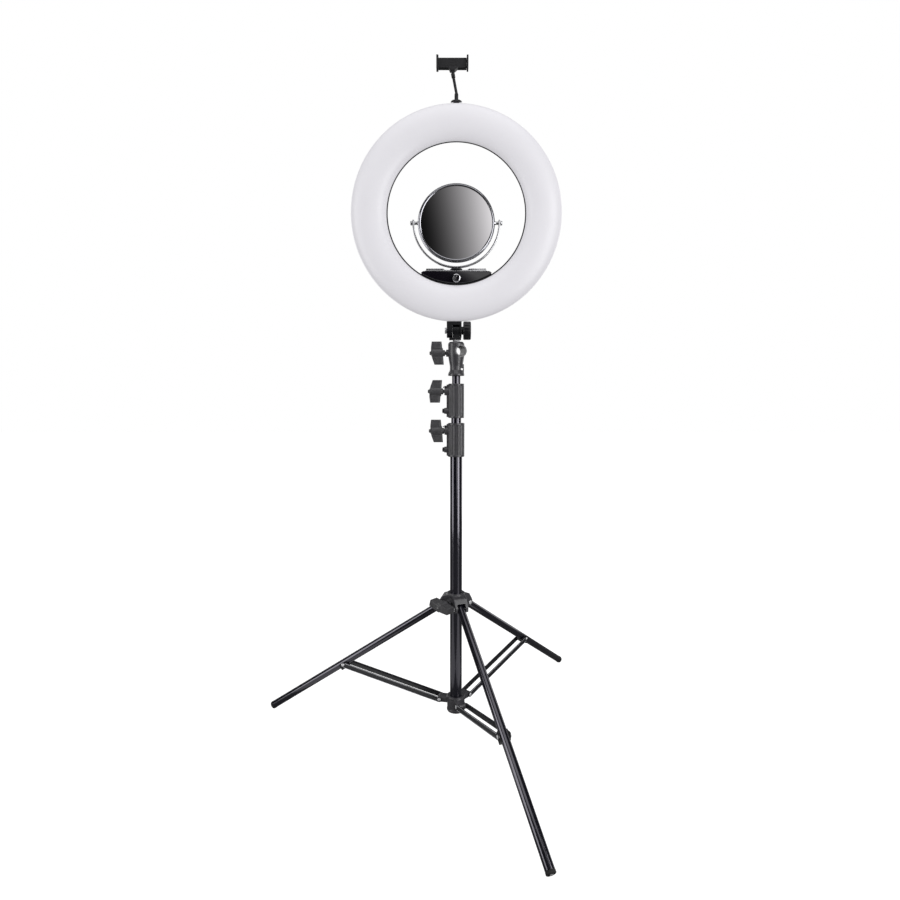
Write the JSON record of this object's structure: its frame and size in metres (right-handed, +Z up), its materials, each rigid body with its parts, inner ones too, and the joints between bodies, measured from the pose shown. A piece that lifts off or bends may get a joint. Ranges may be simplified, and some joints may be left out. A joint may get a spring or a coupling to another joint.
{
  "type": "ring light on a light stand",
  "caption": "Large ring light on a folding tripod stand with sliding mast, tilting head, dimmer, swivelling two-sided mirror and a phone clamp on a gooseneck.",
  "frame": {"origin": "middle of the footprint on the floor", "axes": "+Z up, the light shines towards -Y, +X to the right when facing the light from the back of the view"},
  "size_m": [0.7922, 0.8202, 1.5346],
  "materials": {
    "black_tube": "glossy black powder coat",
    "brace_steel": "black powder coat on pressed channel",
    "casting": "dark grey moulded nylon, fine grain",
    "knob_plastic": "dark grey moulded nylon, satin",
    "black_plastic": "black moulded plastic, satin",
    "rivet_steel": "bright zinc-plated steel",
    "foot_rubber": "black rubber",
    "flex_sleeve": "black flexible sleeve over a bendable core",
    "diffuser": "milky translucent white, satin",
    "circuit_board": "white solder mask with rows of lamps",
    "gloss_panel": "piano black",
    "dial_aluminium": "satin aluminium",
    "chrome_trim": "polished chrome",
    "mirror_glass": "silvered mirror"
  },
  "bodies": {
    "column": {"base_tube": "black_tube", "lower_hub": "casting", "lower_collar": "casting"},
    "leg_hub": {"leg_hub": "casting", "leg_pin_front": "rivet_steel", "leg_pin_right": "rivet_steel", "leg_pin_left": "rivet_steel"},
    "leg_front": {"leg_tube_front": "black_tube", "foot_cap_front": "foot_rubber", "brace_clip_front": "black_plastic", "clip_rivet_front": "rivet_steel"},
    "brace_front": {"brace_front": "brace_steel"},
    "leg_right": {"leg_tube_right": "black_tube", "foot_cap_right": "foot_rubber", "brace_clip_right": "black_plastic", "clip_rivet_right": "rivet_steel"},
    "brace_right": {"brace_right": "brace_steel"},
    "leg_left": {"leg_tube_left": "black_tube", "foot_cap_left": "foot_rubber", "brace_clip_left": "black_plastic", "clip_rivet_left": "rivet_steel"},
    "brace_left": {"brace_left": "brace_steel"},
    "hub_knob": {"hub_knob": "knob_plastic"},
    "lower_collar_knob": {"lower_collar_knob": "knob_plastic"},
    "mid_section": {"mid_tube": "black_tube", "upper_collar": "casting"},
    "upper_collar_knob": {"upper_collar_knob": "knob_plastic"},
    "top_section": {"top_tube": "black_tube", "head_casting": "casting", "head_stud": "rivet_steel"},
    "head_knob": {"head_knob": "knob_plastic"},
    "pan_base": {"tilt_base": "black_plastic"},
    "ring_head": {"rear_housing": "black_plastic", "diffuser": "diffuser", "led_board": "circuit_board", "ring_bracket": "black_plastic", "tilt_bolt": "rivet_steel", "control_housing": "black_plastic", "control_panel": "gloss_panel", "driver_board": "circuit_board", "dimmer_control": "rivet_steel", "power_inlet": "black_plastic", "shelf_plate": "dial_aluminium", "accessory_shoe": "rivet_steel", "holder_foot": "rivet_steel"},
    "tilt_knob": {"tilt_knob": "black_plastic"},
    "dimmer_knob": {"dimmer_knob": "dial_aluminium"},
    "power_switch": {"power_switch": "black_plastic"},
    "mirror_lock_wheel": {"mirror_lock_wheel": "black_plastic"},
    "mirror_yoke": {"mirror_yoke": "chrome_trim"},
    "mirror": {"mirror_frame": "chrome_trim", "mirror_glass_plain": "mirror_glass", "mirror_glass_magnifying": "mirror_glass"},
    "holder_lock_wheel": {"holder_lock_wheel": "black_plastic"},
    "gooseneck_base": {"gooseneck_base": "black_plastic"},
    "gooseneck_lower": {"gooseneck_lower": "flex_sleeve"},
    "gooseneck_upper": {"gooseneck_upper": "flex_sleeve"},
    "gooseneck_top": {"gooseneck_top": "black_plastic"},
    "clamp": {"clamp_body": "black_plastic"},
    "clamp_jaw": {"clamp_jaw": "black_plastic"}
  },
  "joints": [
    {"name": "leg_hub_slide", "type": "slide", "parent": "column", "child": "leg_hub", "axis": [0, 0, 1], "range_m": [0, 0.3155]},
    {"name": "leg_front_hinge", "type": "hinge", "parent": "leg_hub", "child": "leg_front", "pos_m": [0.08727, 0.01381, 0.30386], "axis": [0.9466, 0.3223, 0], "range_deg": [0, 53.37]},
    {"name": "brace_front_hinge", "type": "hinge", "parent": "column", "child": "brace_front", "pos_m": [0.08869, 0.00964, 0.072], "axis": [-0.9466, -0.3223, 0], "range_deg": [0, 73.23]},
    {"name": "leg_right_hinge", "type": "hinge", "parent": "leg_hub", "child": "leg_right", "pos_m": [0.09871, 0.07158, 0.30386], "axis": [-0.7524, 0.6587, 0], "range_deg": [0, 53.37]},
    {"name": "brace_right_hinge", "type": "hinge", "parent": "column", "child": "brace_right", "pos_m": [0.10161, 0.07489, 0.072], "axis": [0.7524, -0.6587, 0], "range_deg": [0, 73.23]},
    {"name": "leg_left_hinge", "type": "hinge", "parent": "leg_hub", "child": "leg_left", "pos_m": [0.04296, 0.0526, 0.30386], "axis": [-0.1942, -0.981, 0], "range_deg": [0, 53.37]},
    {"name": "brace_left_hinge", "type": "hinge", "parent": "column", "child": "brace_left", "pos_m": [0.03864, 0.05345, 0.072], "axis": [0.1942, 0.981, 0], "range_deg": [0, 73.23]},
    {"name": "hub_knob_turn", "type": "hinge", "parent": "leg_hub", "child": "hub_knob", "pos_m": [0.05128, 0.0174, 0.31287], "axis": [-0.6587, -0.7524, 0], "continuous": true},
    {"name": "lower_collar_knob_turn", "type": "hinge", "parent": "column", "child": "lower_collar_knob", "pos_m": [0.04531, 0.04599, 0.714], "axis": [-1, 0, 0], "continuous": true},
    {"name": "mid_tube_slide", "type": "slide", "parent": "column", "child": "mid_section", "axis": [0, 0, 1], "range_m": [0, 0.53]},
    {"name": "upper_collar_knob_turn", "type": "hinge", "parent": "mid_section", "child": "upper_collar_knob", "pos_m": [0.04331, 0.04599, 0.8045], "axis": [-1, 0, 0], "continuous": true},
    {"name": "top_tube_slide", "type": "slide", "parent": "mid_section", "child": "top_section", "axis": [0, 0, 1], "range_m": [0, 0.58]},
    {"name": "head_knob_turn", "type": "hinge", "parent": "top_section", "child": "head_knob", "pos_m": [0.04731, 0.04599, 0.891], "axis": [-1, 0, 0], "continuous": true},
    {"name": "light_pan", "type": "hinge", "parent": "top_section", "child": "pan_base", "pos_m": [0.07631, 0.04599, 0.93], "axis": [0, 0, 1], "continuous": true},
    {"name": "ring_tilt", "type": "hinge", "parent": "pan_base", "child": "ring_head", "pos_m": [0.07631, 0.04599, 0.9415], "axis": [1, 0, 0], "range_deg": [-65, 60]},
    {"name": "tilt_knob_turn", "type": "hinge", "parent": "ring_head", "child": "tilt_knob", "pos_m": [0.10031, 0.04599, 0.9415], "axis": [1, 0, 0], "continuous": true},
    {"name": "dimmer_turn", "type": "hinge", "parent": "ring_head", "child": "dimmer_knob", "pos_m": [0.07631, 0.02599, 1.0542], "axis": [0, -1, 0], "range_deg": [0, 270]},
    {"name": "power_switch_rock", "type": "hinge", "parent": "ring_head", "child": "power_switch", "pos_m": [0.03431, 0.06399, 1.062], "axis": [0, 0, 1], "range_deg": [0, 12]},
    {"name": "mirror_lock_wheel_turn", "type": "hinge", "parent": "ring_head", "child": "mirror_lock_wheel", "pos_m": [0.07631, 0.04599, 1.078], "axis": [0, 0, 1], "continuous": true},
    {"name": "mirror_pan", "type": "hinge", "parent": "ring_head", "child": "mirror_yoke", "pos_m": [0.07631, 0.04599, 1.076], "axis": [0, 0, 1], "continuous": true},
    {"name": "mirror_tilt", "type": "hinge", "parent": "mirror_yoke", "child": "mirror", "pos_m": [0.07631, 0.04599, 1.178], "axis": [1, 0, 0], "continuous": true},
    {"name": "holder_lock_wheel_turn", "type": "hinge", "parent": "ring_head", "child": "holder_lock_wheel", "pos_m": [0.07631, 0.05599, 1.4395], "axis": [0, 0, 1], "continuous": true},
    {"name": "holder_pan", "type": "hinge", "parent": "ring_head", "child": "gooseneck_base", "pos_m": [0.07631, 0.05599, 1.446], "axis": [0, 0, 1], "continuous": true},
    {"name": "gooseneck_bend_1", "type": "hinge", "parent": "gooseneck_base", "child": "gooseneck_lower", "pos_m": [0.07631, 0.05599, 1.45875], "axis": [1, 0, 0], "range_deg": [-20, 20]},
    {"name": "gooseneck_bend_2", "type": "hinge", "parent": "gooseneck_lower", "child": "gooseneck_upper", "pos_m": [0.07331, 0.05599, 1.47496], "axis": [1, 0, 0], "range_deg": [-20, 20]},
    {"name": "gooseneck_bend_3", "type": "hinge", "parent": "gooseneck_upper", "child": "gooseneck_top", "pos_m": [0.07016, 0.05599, 1.49116], "axis": [1, 0, 0], "range_deg": [-20, 20]},
    {"name": "clamp_tilt", "type": "hinge", "parent": "gooseneck_top", "child": "clamp", "pos_m": [0.06725, 0.05599, 1.50613], "axis": [1, 0, 0], "range_deg": [-35, 35]},
    {"name": "clamp_jaw_slide", "type": "slide", "parent": "clamp", "child": "clamp_jaw", "axis": [1, 0, 0], "range_m": [0, 0.03], "stiffness_N_per_m": 200, "springref_m": -0.01}
  ],
  "couplings": [
    {"joint": "leg_front_hinge", "follows": "leg_hub_slide", "rad_per_m": 2.9303},
    {"joint": "brace_front_hinge", "follows": "leg_hub_slide", "rad_per_m": 4.0291},
    {"joint": "leg_right_hinge", "follows": "leg_hub_slide", "rad_per_m": 2.9303},
    {"joint": "brace_right_hinge", "follows": "leg_hub_slide", "rad_per_m": 4.0291},
    {"joint": "leg_left_hinge", "follows": "leg_hub_slide", "rad_per_m": 2.9303},
    {"joint": "brace_left_hinge", "follows": "leg_hub_slide", "rad_per_m": 4.0291}
  ]
}
